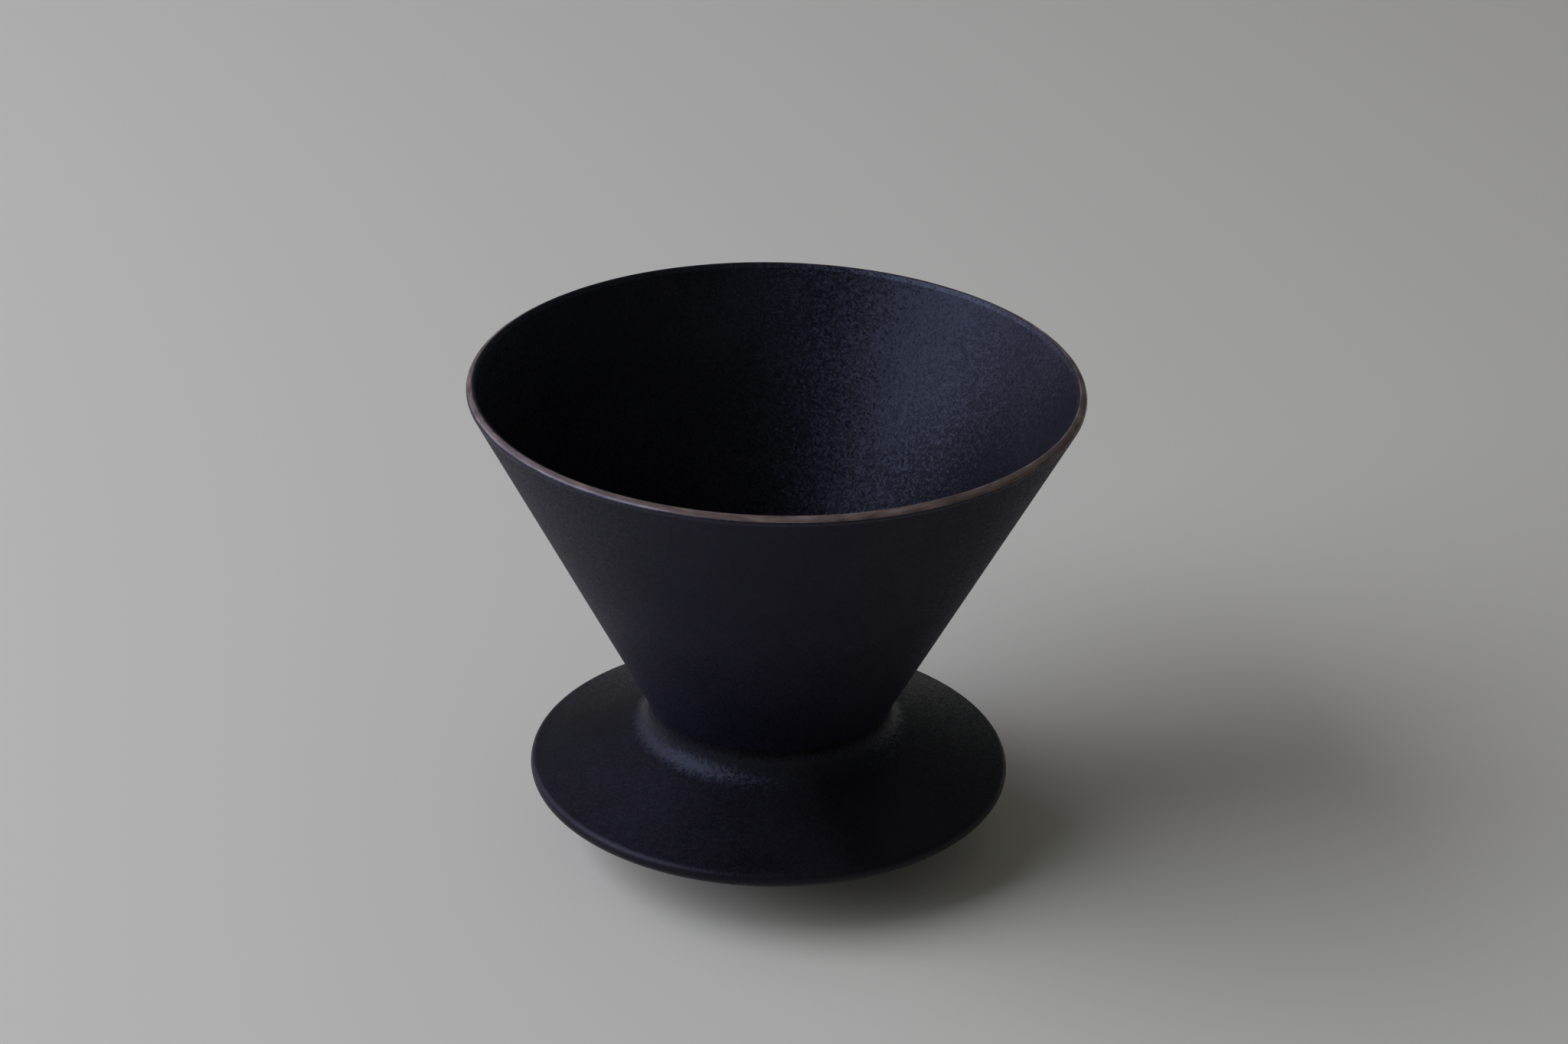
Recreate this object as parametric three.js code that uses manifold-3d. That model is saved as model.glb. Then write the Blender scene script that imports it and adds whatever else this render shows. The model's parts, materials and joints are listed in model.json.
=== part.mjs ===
// A pour-over coffee dripper in glazed stoneware: a funnel on a saucer-shaped flange.
//
// A potter builds it from pieces of clay that are thrown or rolled one by one and luted together with slip:
//   lip            the rounded top edge of the wall, where the glaze breaks to bare clay
//   cone_wall      the funnel's wall, from under the lip to the drain at its lower end
//   neck_coil      a coil pressed into the corner between wall and saucer and smoothed to a hollow curve
//   saucer         the flange that rests on a mug and sheds drips
//   foot_ring      the short tube under the saucer that drops into the mug's mouth, and that it stands on
//   filter_rib_NN  strips that hold the wet paper filter off the lower wall, so that air can leave
//
// Millimetres, +Z up. The origin is on the axis, in the plane that the foot stands on.
import * as THREE from "three";
import { mergeVertices } from "three/addons/utils/BufferGeometryUtils.js";
import Module from "manifold-3d";

// ---- Driving dimensions ----
const RIM_RADIUS = 60; // outermost point of the lip
const TOTAL_HEIGHT = 99.1; // from the foot's standing face to the top of the lip
const LIP_THICKNESS = 2; // the lip is a full round of this width
const LIP_BAND = 2.4; // depth of the lip, down from its top

const DRAIN_RADIUS = 13; // the hole that the tip of the paper cone hangs through
const DRAIN_LENGTH = 2; // straight part of the drain
const CONE_END_WIDTH = 2.8; // width of the ring-shaped face at the wall's lower end

const SAUCER_RADIUS = 48;
const SAUCER_EDGE = 3.2; // the outer edge is a full round of this thickness
const SAUCER_SLOPE = 20; // degrees that the top falls towards its edge
const NECK_CURVE_RADIUS = 5.3; // the hollow curve of the coil

const FOOT_HEIGHT = 13.7; // from the standing face to the saucer's flat underside
const FOOT_RADIUS = 24;
const FOOT_WALL = 4.2;
const FOOT_EASE = 1; // rounding of the foot's two lower edges

const RIB_COUNT = 12;
const RIB_WIDTH = 2.4;
const RIB_LENGTH = 37; // along the wall
const RIB_TAPER = 9; // the upper end thins out over this length
const RIB_SETBACK = 1.2; // from the top of the drain to the rib's lower end

const SLIP = 0.3; // thickness of the layer of slip between pieces that meet on a cone

// ---- How finely round shapes are divided ----
const TURN_SEGMENTS = 96;
const RIB_SIDES = 14;
const LIP_STEPS = 4;
const EDGE_STEPS = 8;
const COIL_STEPS = 8;
const EASE_STEPS = 3;
const RIB_STEPS = 4;

const RADIANS = Math.PI / 180;
const QUARTER_TURN = Math.PI / 2;

// ---- Drawing in the half plane (radius, height) ----
const at = (radius, height) => new THREE.Vector2(radius, height);

// A point of a circle. Angles are in radians, from straight outwards, and grow upwards.
function onCircle(centre, radius, angle) {
  return at(centre.x + radius * Math.cos(angle), centre.y + radius * Math.sin(angle));
}

// Points of an arc, both ends included.
function arc(centre, radius, from, to, steps) {
  const points = [];
  for (let i = 0; i <= steps; i++) {
    points.push(onCircle(centre, radius, from + ((to - from) * i) / steps));
  }
  return points;
}

// A slanting line: a point on it and its lean from the vertical, outwards as it rises. A lean of nearly
// minus a quarter turn makes it fall gently outwards.
const line = (point, lean) => ({ point, lean });
const radiusAt = (l, height) => l.point.x + (height - l.point.y) * Math.tan(l.lean);

// The line through a point that touches a circle on its outer (+1) or inner (-1) side.
function tangentLine(point, centre, radius, side) {
  const reach = centre.clone().sub(point);
  const lean = Math.atan2(reach.x, reach.y) + side * Math.asin(radius / reach.length());
  return line(point, lean);
}

// The same line moved square to itself: outwards where distance is positive, or up if it falls outwards.
function offset(l, distance) {
  return line(at(l.point.x + distance * Math.cos(l.lean), l.point.y - distance * Math.sin(l.lean)), l.lean);
}

// Where two lines cross.
function crossing(a, b) {
  const height =
    (b.point.x - a.point.x + a.point.y * Math.tan(a.lean) - b.point.y * Math.tan(b.lean)) /
    (Math.tan(a.lean) - Math.tan(b.lean));
  return at(radiusAt(a, height), height);
}

// ---- Lines that several pieces share ----
const lipRadius = LIP_THICKNESS / 2;
const lipCentre = at(RIM_RADIUS - lipRadius, TOTAL_HEIGHT - lipRadius);
const lipFoot = TOTAL_HEIGHT - LIP_BAND;
const drainTop = FOOT_HEIGHT + DRAIN_LENGTH;
const coneEndRadius = DRAIN_RADIUS + CONE_END_WIDTH;
const outerWall = tangentLine(at(coneEndRadius, FOOT_HEIGHT), lipCentre, lipRadius, 1);
const innerWall = tangentLine(at(DRAIN_RADIUS, drainTop), lipCentre, lipRadius, -1);

const edgeRadius = SAUCER_EDGE / 2;
const edgeCentre = at(SAUCER_RADIUS - edgeRadius, FOOT_HEIGHT + edgeRadius);
const slope = SAUCER_SLOPE * RADIANS;
const topTouch = QUARTER_TURN - slope; // angle at which the sloping top leaves the round edge
const saucerTop = line(onCircle(edgeCentre, edgeRadius, topTouch), slope - QUARTER_TURN);

// ---- Making solids ----
const wasm = await Module();
wasm.setup();

// A ring or a body turned about Z from a closed outline, listed anticlockwise with radius to the right.
function turned(outline, segments = TURN_SEGMENTS) {
  const geometry = new THREE.LatheGeometry([...outline, outline[0]], segments);
  return geometry.rotateX(QUARTER_TURN);
}

// A geometry as a manifold-3d solid, for cutting.
function solidOf(geometry) {
  const bare = geometry.clone();
  bare.deleteAttribute("normal");
  bare.deleteAttribute("uv");
  const merged = mergeVertices(bare, 1e-4);
  return new wasm.Manifold(
    new wasm.Mesh({
      numProp: 3,
      vertProperties: merged.attributes.position.array,
      triVerts: new Uint32Array(merged.index.array),
    }),
  );
}

// A manifold-3d solid as a three.js geometry.
function geometryOf(solid) {
  const mesh = solid.getMesh();
  const geometry = new THREE.BufferGeometry();
  geometry.setAttribute("position", new THREE.BufferAttribute(mesh.vertProperties, mesh.numProp));
  geometry.setIndex(new THREE.BufferAttribute(mesh.triVerts, 1));
  geometry.computeVertexNormals();
  return geometry;
}

// ---- Finishes ----
const blackGlaze = new THREE.MeshStandardMaterial({ color: 0x14151b, roughness: 0.5, metalness: 0 });
const brokenGlaze = new THREE.MeshStandardMaterial({ color: 0x5d5048, roughness: 0.55, metalness: 0 });
const bareClay = new THREE.MeshStandardMaterial({ color: 0x4a3f38, roughness: 0.85, metalness: 0 });

const dripper = new THREE.Group();

function add(name, geometry, material) {
  const mesh = new THREE.Mesh(geometry, material);
  mesh.name = name;
  dripper.add(mesh);
  return mesh;
}

// ---- The pieces ----

// The lip: both faces of the wall run up into one round. It is drawn in two halves, so its top is a point.
function lip() {
  const innerFoot = at(radiusAt(innerWall, lipFoot), lipFoot);
  const outerFoot = at(radiusAt(outerWall, lipFoot), lipFoot);
  const outerTouch = onCircle(lipCentre, lipRadius, -outerWall.lean);
  const outerHalf = arc(lipCentre, lipRadius, 0, QUARTER_TURN, LIP_STEPS);
  const innerHalf = arc(lipCentre, lipRadius, QUARTER_TURN, Math.PI - innerWall.lean, LIP_STEPS);
  return turned([innerFoot, outerFoot, outerTouch, ...outerHalf, ...innerHalf.slice(1)]);
}

// The wall: a little thicker at its lower end than at the lip, with a straight drain.
function coneWall() {
  return turned([
    at(DRAIN_RADIUS, FOOT_HEIGHT),
    at(coneEndRadius, FOOT_HEIGHT),
    at(radiusAt(outerWall, lipFoot), lipFoot),
    at(radiusAt(innerWall, lipFoot), lipFoot),
    at(DRAIN_RADIUS, drainTop),
  ]);
}

// The coil: its curve is tangent to the wall and to the saucer's top, and ends where the slip would reach it.
function neckCoil() {
  const onWall = offset(outerWall, NECK_CURVE_RADIUS);
  const onSaucer = offset(saucerTop, NECK_CURVE_RADIUS);
  const centre = crossing(onWall, onSaucer);
  const feather = Math.acos(1 - SLIP / NECK_CURVE_RADIUS);
  const wallEnd = Math.PI - outerWall.lean + feather;
  const saucerEnd = Math.PI + topTouch - feather;
  const corner = crossing(offset(outerWall, SLIP), offset(saucerTop, SLIP));
  return turned([corner, ...arc(centre, NECK_CURVE_RADIUS, saucerEnd, wallEnd, COIL_STEPS)]);
}

// The saucer: flat below, falling towards its round edge above, bored to sit round the wall's lower end.
// The part of its underside that a mug's rim can reach starts just outside the foot.
function saucer() {
  const bore = offset(outerWall, SLIP);
  const boreFoot = at(radiusAt(bore, FOOT_HEIGHT), FOOT_HEIGHT);
  const seatStart = at(FOOT_RADIUS + SLIP, FOOT_HEIGHT);
  const edge = arc(edgeCentre, edgeRadius, -QUARTER_TURN, topTouch, EDGE_STEPS);
  return turned([boreFoot, seatStart, ...edge, crossing(bore, saucerTop)]);
}

// The foot: a plain tube with eased edges round its standing face.
function footRing() {
  const inner = FOOT_RADIUS - FOOT_WALL;
  const innerEase = arc(at(inner + FOOT_EASE, FOOT_EASE), FOOT_EASE, Math.PI, 3 * QUARTER_TURN, EASE_STEPS);
  const outerEase = arc(at(FOOT_RADIUS - FOOT_EASE, FOOT_EASE), FOOT_EASE, -QUARTER_TURN, 0, EASE_STEPS);
  return turned([...innerEase, ...outerEase, at(FOOT_RADIUS, FOOT_HEIGHT), at(inner, FOOT_HEIGHT)]);
}

// A rib before it is cut to the wall, standing along Z: a rod, round below and drawn out to a tip above.
function ribBlank() {
  const radius = RIB_WIDTH / 2;
  const lowerEnd = arc(at(0, radius), radius, -QUARTER_TURN, 0, RIB_STEPS);
  const upperEnd = [];
  for (let i = 0; i <= RIB_STEPS; i++) {
    const share = i / RIB_STEPS;
    upperEnd.push(at(radius * Math.cos(share * QUARTER_TURN), RIB_LENGTH - RIB_TAPER * (1 - share)));
  }
  upperEnd[RIB_STEPS].x = 0;
  const geometry = new THREE.LatheGeometry([...lowerEnd, ...upperEnd], RIB_SIDES);
  return geometry.rotateX(QUARTER_TURN);
}

// All the space inside the wall, less the slip, from the drain up.
function insideOfWall() {
  const face = offset(innerWall, -SLIP);
  const bottom = at(radiusAt(face, drainTop), drainTop);
  const top = at(radiusAt(face, TOTAL_HEIGHT), TOTAL_HEIGHT);
  return solidOf(turned([at(0, drainTop), bottom, top, at(0, TOTAL_HEIGHT)]));
}

// The ribs: each lies along the wall, half sunk in its line, and keeps what is inside the wall.
function filterRibs() {
  const room = insideOfWall();
  const lowerEnd = drainTop + RIB_SETBACK;
  const lying = new THREE.Matrix4().makeRotationY(innerWall.lean);
  lying.setPosition(radiusAt(innerWall, lowerEnd), 0, lowerEnd);
  for (let i = 0; i < RIB_COUNT; i++) {
    const turn = new THREE.Matrix4().makeRotationZ((i * 2 * Math.PI) / RIB_COUNT);
    const rib = solidOf(ribBlank().applyMatrix4(turn.multiply(lying))).intersect(room);
    add(`filter_rib_${String(i + 1).padStart(2, "0")}`, geometryOf(rib), blackGlaze);
  }
}

add("lip", lip(), brokenGlaze);
add("cone_wall", coneWall(), blackGlaze);
add("neck_coil", neckCoil(), blackGlaze);
add("saucer", saucer(), blackGlaze);
add("foot_ring", footRing(), bareClay);
filterRibs();

export default dripper;
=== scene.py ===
# %% [markdown]
# # A coffee dripper in black stoneware
#
# The object is one piece of fired clay: an open cone on a sloping saucer, with a short foot under it. A
# potter makes it from rings that are turned on a wheel, joins them with slip, glazes the whole pot in a
# satin-matt black and fires it once. The engineering model gives every size. This lesson builds the
# visible skin of each ring at those sizes, with the soft edges, the small unevenness and the glaze that a
# hand-made pot has.

import json
import math

import bpy
from mathutils import Matrix, Vector

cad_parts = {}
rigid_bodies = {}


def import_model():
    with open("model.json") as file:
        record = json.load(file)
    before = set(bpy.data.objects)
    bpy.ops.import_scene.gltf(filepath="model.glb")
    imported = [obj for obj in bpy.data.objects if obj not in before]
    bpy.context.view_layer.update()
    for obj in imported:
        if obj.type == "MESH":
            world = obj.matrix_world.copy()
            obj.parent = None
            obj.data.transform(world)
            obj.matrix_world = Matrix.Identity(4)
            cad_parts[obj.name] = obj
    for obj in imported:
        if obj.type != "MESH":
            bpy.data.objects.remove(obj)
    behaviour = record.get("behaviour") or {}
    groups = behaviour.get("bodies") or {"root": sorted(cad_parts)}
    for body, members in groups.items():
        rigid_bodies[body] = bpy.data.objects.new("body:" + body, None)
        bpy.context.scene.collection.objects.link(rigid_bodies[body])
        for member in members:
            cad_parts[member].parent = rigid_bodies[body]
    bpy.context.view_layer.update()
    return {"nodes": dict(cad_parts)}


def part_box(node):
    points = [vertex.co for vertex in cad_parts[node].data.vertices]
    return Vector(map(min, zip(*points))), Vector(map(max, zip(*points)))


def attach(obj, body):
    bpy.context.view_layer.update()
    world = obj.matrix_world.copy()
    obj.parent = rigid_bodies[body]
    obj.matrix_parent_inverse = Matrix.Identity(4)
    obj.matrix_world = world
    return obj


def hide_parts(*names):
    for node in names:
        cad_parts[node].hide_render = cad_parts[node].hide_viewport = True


for leftover in list(bpy.data.objects):
    bpy.data.objects.remove(leftover)

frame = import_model()

# %% [markdown]
# ## Two small helpers
#
# Blender works in metres and in linear light. Clay is easier to think about in millimetres, and colours
# are easier to pick as the hex values of a screen. One function adds a node to any tree, sets it and
# wires it, so the cells that follow read as lists of what each node does.

# %% Millimetres, colours and nodes
MM = 0.001
TINY = 1e-6  # metres, closer than which two places are the same


def linear(hex_colour):
    """A colour such as "#1c2026", as the linear RGBA that nodes use."""
    values = [int(hex_colour[i : i + 2], 16) / 255 for i in (1, 3, 5)]
    return [v / 12.92 if v <= 0.04045 else ((v + 0.055) / 1.055) ** 2.4 for v in values] + [1.0]


def add_node(tree, kind, inputs=None, **settings):
    """Adds a node. inputs maps a socket's name or number to a value, or to the output that feeds it."""
    node = tree.nodes.new(kind)
    for name, value in settings.items():
        setattr(node, name, value)
    for key, value in (inputs or {}).items():
        if isinstance(value, bpy.types.NodeSocket):
            tree.links.new(value, node.inputs[key])
        else:
            node.inputs[key].default_value = value
    return node


# %% [markdown]
# ## Reading the rings
#
# Each ring in the engineering model is an outline turned round the Z axis. The points of that outline are
# the vertices that lie on the positive X side. Straight stretches need only their ends, and a circle
# through three points gives back the exact centre and radius of each round. So every size below comes
# from the model, and nothing is measured twice.

# %% The outline of a ring, and circles through its points
def ring_points(node):
    """The (radius, height) points of a turned ring, from the lowest to the highest."""
    found = set()
    for vertex in frame["nodes"][node].data.vertices:
        x, y, z = vertex.co
        if abs(y) < TINY and x > 0:
            found.add((round(x, 7), round(z, 7)))
    return sorted((Vector(p) for p in found), key=lambda p: (p.y, p.x))


def circle_through(a, b, c):
    """Centre and radius of the circle through three points."""
    ab, ac = b - a, c - a
    twice_area = 2 * (ab.x * ac.y - ab.y * ac.x)
    x = (ac.y * ab.length_squared - ab.y * ac.length_squared) / twice_area
    y = (ab.x * ac.length_squared - ac.x * ab.length_squared) / twice_area
    return a + Vector((x, y)), math.hypot(x, y)


wall = ring_points("cone_wall")
drain_low, wall_low = wall[0], wall[1]
drain_top = wall[2]
wall_in, wall_out = wall[3], wall[4]

lip = ring_points("lip")
lip_top = lip[-1]
rim_radius = max(p.x for p in lip)
lip_radius = rim_radius - lip_top.x
lip_centre = Vector((lip_top.x, lip_top.y - lip_radius))

coil = sorted(ring_points("neck_coil"), key=lambda p: p.x)[1:]  # without the corner at its back
coil.sort(key=lambda p: p.y)
coil_centre, coil_radius = circle_through(coil[0], coil[len(coil) // 2], coil[-1])

plate = ring_points("saucer")
plate_low = max((p for p in plate if p.y < plate[0].y + TINY), key=lambda p: p.x)
plate_edge = [p for p in plate if p.x > plate_low.x - TINY]
edge_centre, edge_radius = circle_through(plate_edge[0], plate_edge[len(plate_edge) // 2], plate_edge[-1])
plate_high = plate[-1]

foot = ring_points("foot_ring")
foot_in, foot_out = min(p.x for p in foot), max(p.x for p in foot)
foot_ease = foot[0].x - foot_in
print(f"lip round {1000 * lip_radius:.2f} mm, coil curve {1000 * coil_radius:.2f} mm,")
print(f"plate edge {1000 * edge_radius:.2f} mm, foot {2000 * foot_in:.1f} to {2000 * foot_out:.1f} mm across")

# %% [markdown]
# ## Where the coil blends in
#
# The coil between the cone and the saucer was smoothed with a wet finger, so its hollow curve runs out
# into both without a line. The curve touches the wall and the saucer's top where the line from its centre
# meets each of them squarely. Below those points each piece is cut back a little, so that the coil lies
# in a shallow seat and two surfaces never share one place, which would flicker in a render.

# %% Touching points and the seat
SEAT_DEPTH = 0.3 * MM


def direction(start, end):
    """Unit vector from one point to another."""
    return (end - start).normalized()


def left_of(vector):
    """The vector turned a quarter turn anticlockwise."""
    return Vector((-vector.y, vector.x))


def foot_of_square(point, start, end):
    """Where the perpendicular from point meets the line through start and end."""
    along = direction(start, end)
    return start + along * (point - start).dot(along)


def crossing(a, a_way, b, b_way):
    """Where the line through a crosses the line through b."""
    turn = a_way.x * b_way.y - a_way.y * b_way.x
    gap = b - a
    return a + a_way * (gap.x * b_way.y - gap.y * b_way.x) / turn


up_wall = direction(wall_low, wall_out)
into_wall = left_of(up_wall)
up_plate = direction(plate_edge[-1], plate_high)
into_plate = left_of(up_plate)
wall_touch = foot_of_square(coil_centre, wall_low, wall_out)
plate_touch = foot_of_square(coil_centre, plate_edge[-1], plate_high)
print(f"the coil meets the wall {1000 * wall_touch.y:.1f} mm up,")
print(f"and the saucer {1000 * plate_touch.x:.1f} mm out")

# %% [markdown]
# ## Outlines
#
# An outline is a closed loop of corners in the half plane of radius and height, listed anticlockwise. A
# corner may be rounded: the round is an arc that touches the lines on both sides of it. Long straight
# stretches are then divided, because the surface gets a slight unevenness later, and a point can only
# move if it is there.

# %% Corners, arcs and fine points
ARC_STEP = math.radians(3)
POINT_SPACING = 0.8 * MM


def arc(centre, radius, start, end):
    """Points of an arc, both ends included. Angles are from straight outwards, growing upwards."""
    steps = max(2, math.ceil(abs(end - start) / ARC_STEP))
    angles = [start + (end - start) * i / steps for i in range(steps + 1)]
    return [centre + radius * Vector((math.cos(a), math.sin(a))) for a in angles]


def angle_of(vector):
    """Angle of a vector from straight outwards."""
    return math.atan2(vector.y, vector.x)


def rounded(before, corner, after, radius):
    """The corner between two neighbours as an arc that touches both lines."""
    towards, away = direction(corner, before), direction(corner, after)
    half = towards.angle(away) / 2
    centre = corner + (towards + away).normalized() * radius / math.sin(half)
    first = angle_of(corner + towards * radius / math.tan(half) - centre)
    last = angle_of(corner + away * radius / math.tan(half) - centre)
    turn = (last - first + math.pi) % (2 * math.pi) - math.pi
    return arc(centre, radius, first, first + turn)


def outline(*corners):
    """A closed outline. A corner is a point, a list of points, or a (point, radius) pair to round."""
    stretches = [c if isinstance(c, list) else [c[0] if isinstance(c, tuple) else c] for c in corners]
    points = []
    for i, corner in enumerate(corners):
        if isinstance(corner, tuple):
            before, after = stretches[i - 1][-1], stretches[(i + 1) % len(corners)][0]
            points += rounded(before, corner[0], after, corner[1])
        else:
            points += stretches[i]
    return points


def divided(points):
    """The same loop with its long stretches divided."""
    fine = []
    for start, end in zip(points, points[1:] + points[:1]):
        steps = max(1, math.ceil((end - start).length / POINT_SPACING))
        fine += [start.lerp(end, i / steps) for i in range(steps)]
    return fine


# %% [markdown]
# ## The potter's wheel
#
# Every ring follows one rule, which is to turn an outline round an axis, so one Geometry Nodes tree makes
# them all. The outline becomes a curve, a circle is the path of one turn, and Curve to Mesh sweeps the
# first along the second. A spin or a screw modifier would do it too, but the tree can also press the
# clay: it moves each point towards the axis by a noise that depends only on its place. Two pieces that
# share a point are moved alike, so their joints stay closed. The clay only ever moves inwards, which
# keeps the pot inside its real size.

# %% The tree that turns an outline
TURN_SEGMENTS = 288
HUB_RADIUS = 1 * MM  # of the path of one turn: any small size does
SHARP_BEND = math.radians(30)


def wheel_tree():
    tree = bpy.data.node_groups.new("potters_wheel", "GeometryNodeTree")
    sockets = tree.interface
    sockets.new_socket("Geometry", in_out="OUTPUT", socket_type="NodeSocketGeometry")
    sockets.new_socket("Outline", in_out="INPUT", socket_type="NodeSocketGeometry")
    for name, kind in (
        ("Turn Segments", "NodeSocketInt"),
        ("Press Depth", "NodeSocketFloat"),
        ("Press Size", "NodeSocketFloat"),
        ("Ring Depth", "NodeSocketFloat"),
        ("Ring Spacing", "NodeSocketFloat"),
        ("Dip Depth", "NodeSocketFloat"),
        ("Dip From", "NodeSocketFloat"),
        ("Dip To", "NodeSocketFloat"),
        ("Finish", "NodeSocketMaterial"),
    ):
        sockets.new_socket(name, in_out="INPUT", socket_type=kind)
    given = add_node(tree, "NodeGroupInput").outputs

    # The outline is drawn with radius along X and height along Z. Curve to Mesh lays a profile's X along the
    # path's normal, which points outwards here, and its Y straight down.
    place = add_node(tree, "GeometryNodeInputPosition").outputs["Position"]
    drawn = add_node(tree, "ShaderNodeSeparateXYZ", {"Vector": place}).outputs
    from_hub = add_node(tree, "ShaderNodeMath", {0: drawn["X"], 1: HUB_RADIUS}, operation="SUBTRACT")
    down = add_node(tree, "ShaderNodeMath", {0: drawn["Z"], 1: -1.0}, operation="MULTIPLY")
    laid = add_node(tree, "ShaderNodeCombineXYZ", {"X": from_hub.outputs[0], "Y": down.outputs[0]})
    profile = add_node(tree, "GeometryNodeMeshToCurve", {"Mesh": given["Outline"]})
    profile = add_node(
        tree, "GeometryNodeSetPosition", {"Geometry": profile.outputs["Curve"], "Position": laid.outputs[0]}
    )
    turn = add_node(
        tree, "GeometryNodeCurvePrimitiveCircle", {"Resolution": given["Turn Segments"], "Radius": HUB_RADIUS}
    )
    turn = add_node(tree, "GeometryNodeSetCurveNormal", {"Curve": turn.outputs["Curve"]}, mode="Z_UP")
    ring = add_node(
        tree,
        "GeometryNodeCurveToMesh",
        {"Curve": turn.outputs["Curve"], "Profile Curve": profile.outputs["Geometry"]},
    )
    ring = add_node(tree, "GeometryNodeFlipFaces", {"Mesh": ring.outputs["Mesh"]})

    # How far each point goes in: slow hand pressure, and the fine rings that the turning tool leaves.
    axes = add_node(tree, "ShaderNodeSeparateXYZ", {"Vector": place}).outputs
    level = add_node(tree, "ShaderNodeCombineXYZ", {"X": axes["X"], "Y": axes["Y"]})
    outwards = add_node(tree, "ShaderNodeVectorMath", {0: level.outputs[0]}, operation="NORMALIZE")
    size = add_node(tree, "ShaderNodeMath", {0: 1.0, 1: given["Press Size"]}, operation="DIVIDE")
    hand = add_node(tree, "ShaderNodeTexNoise", {"Vector": place, "Scale": size.outputs[0], "Detail": 1.0})
    pressed = add_node(
        tree, "ShaderNodeMath", {0: hand.outputs[0], 1: given["Press Depth"]}, operation="MULTIPLY"
    )
    turns = add_node(tree, "ShaderNodeMath", {0: axes["Z"], 1: given["Ring Spacing"]}, operation="DIVIDE")
    phase = add_node(tree, "ShaderNodeMath", {0: turns.outputs[0], 1: 2 * math.pi}, operation="MULTIPLY")
    wave = add_node(tree, "ShaderNodeMath", {0: phase.outputs[0]}, operation="SINE")
    wave = add_node(tree, "ShaderNodeMapRange", {"Value": wave.outputs[0], "From Min": -1.0})
    inwards = add_node(
        tree,
        "ShaderNodeMath",
        {0: wave.outputs[0], 1: given["Ring Depth"], 2: pressed.outputs[0]},
        operation="MULTIPLY_ADD",
    )
    back = add_node(tree, "ShaderNodeMath", {0: inwards.outputs[0], 1: -1.0}, operation="MULTIPLY")
    sideways = add_node(
        tree, "ShaderNodeVectorMath", {0: outwards.outputs[0], "Scale": back.outputs[0]}, operation="SCALE"
    )

    # The top edge also dips a little where the wet rim was compressed.
    share = add_node(
        tree,
        "ShaderNodeMapRange",
        {"Value": axes["Z"], "From Min": given["Dip From"], "From Max": given["Dip To"]},
        interpolation_type="SMOOTHSTEP",
    )
    dip = add_node(tree, "ShaderNodeMath", {0: hand.outputs[0], 1: share.outputs[0]}, operation="MULTIPLY")
    dip = add_node(tree, "ShaderNodeMath", {0: dip.outputs[0], 1: given["Dip Depth"]}, operation="MULTIPLY")
    down = add_node(tree, "ShaderNodeMath", {0: dip.outputs[0], 1: -1.0}, operation="MULTIPLY")
    down = add_node(tree, "ShaderNodeCombineXYZ", {"Z": down.outputs[0]})
    offset = add_node(
        tree, "ShaderNodeVectorMath", {0: sideways.outputs[0], 1: down.outputs[0]}, operation="ADD"
    )
    clay = add_node(
        tree, "GeometryNodeSetPosition", {"Geometry": ring.outputs["Mesh"], "Offset": offset.outputs[0]}
    )

    # Smooth all over, and sharp only at the cut edges of a joint.
    clay = add_node(
        tree, "GeometryNodeSetShadeSmooth", {"Geometry": clay.outputs["Geometry"], "Shade Smooth": True}
    )
    bend = add_node(tree, "GeometryNodeInputMeshEdgeAngle").outputs["Unsigned Angle"]
    cut = add_node(tree, "FunctionNodeCompare", {0: bend, 1: SHARP_BEND}, operation="GREATER_THAN")
    clay = add_node(
        tree,
        "GeometryNodeSetShadeSmooth",
        {"Geometry": clay.outputs[0], "Selection": cut.outputs[0], "Shade Smooth": False},
        domain="EDGE",
    )
    clay = add_node(tree, "GeometryNodeRealizeInstances", {"Geometry": clay.outputs[0]})
    clay = add_node(
        tree, "GeometryNodeSetMaterial", {"Geometry": clay.outputs[0], "Material": given["Finish"]}
    )
    add_node(tree, "NodeGroupOutput", {"Geometry": clay.outputs[0]})
    return tree


wheel = wheel_tree()
print("wheel tree:", len(wheel.nodes), "nodes")

# %% [markdown]
# ## From a tree to a plain mesh
#
# A modifier's inputs are set by each socket's identifier. The evaluated result is then copied into a mesh
# of its own, and the object that carried the modifier is thrown away, so that what is left is a plain
# mesh at the origin.

# %% Running a tree and keeping its result
def grown(name, mesh, tree, values):
    """The mesh that a Geometry Nodes tree makes from a starting mesh, as an object."""
    carrier = bpy.data.objects.new(name + "_start", mesh)
    bpy.context.scene.collection.objects.link(carrier)
    modifier = carrier.modifiers.new(tree.name, "NODES")
    modifier.node_group = tree
    identifiers = {s.name: s.identifier for s in tree.interface.items_tree if s.in_out == "INPUT"}
    for socket, value in values.items():
        modifier[identifiers[socket]] = value
    bpy.context.view_layer.update()
    result = bpy.data.meshes.new_from_object(carrier.evaluated_get(bpy.context.evaluated_depsgraph_get()))
    result.name = name
    bpy.data.objects.remove(carrier)
    piece = bpy.data.objects.new(name, result)
    bpy.context.scene.collection.objects.link(piece)
    return piece


def volume(mesh):
    """Volume that a closed mesh holds, negative if it is inside out."""
    mesh.calc_loop_triangles()
    corners = [[mesh.vertices[i].co for i in t.vertices] for t in mesh.loop_triangles]
    return sum(a.dot(b.cross(c)) for a, b, c in corners) / 6


PRESS_DEPTH = 0.08 * MM
PRESS_SIZE = 28 * MM
RING_DEPTH = 0.012 * MM
RING_SPACING = 2.4 * MM


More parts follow.
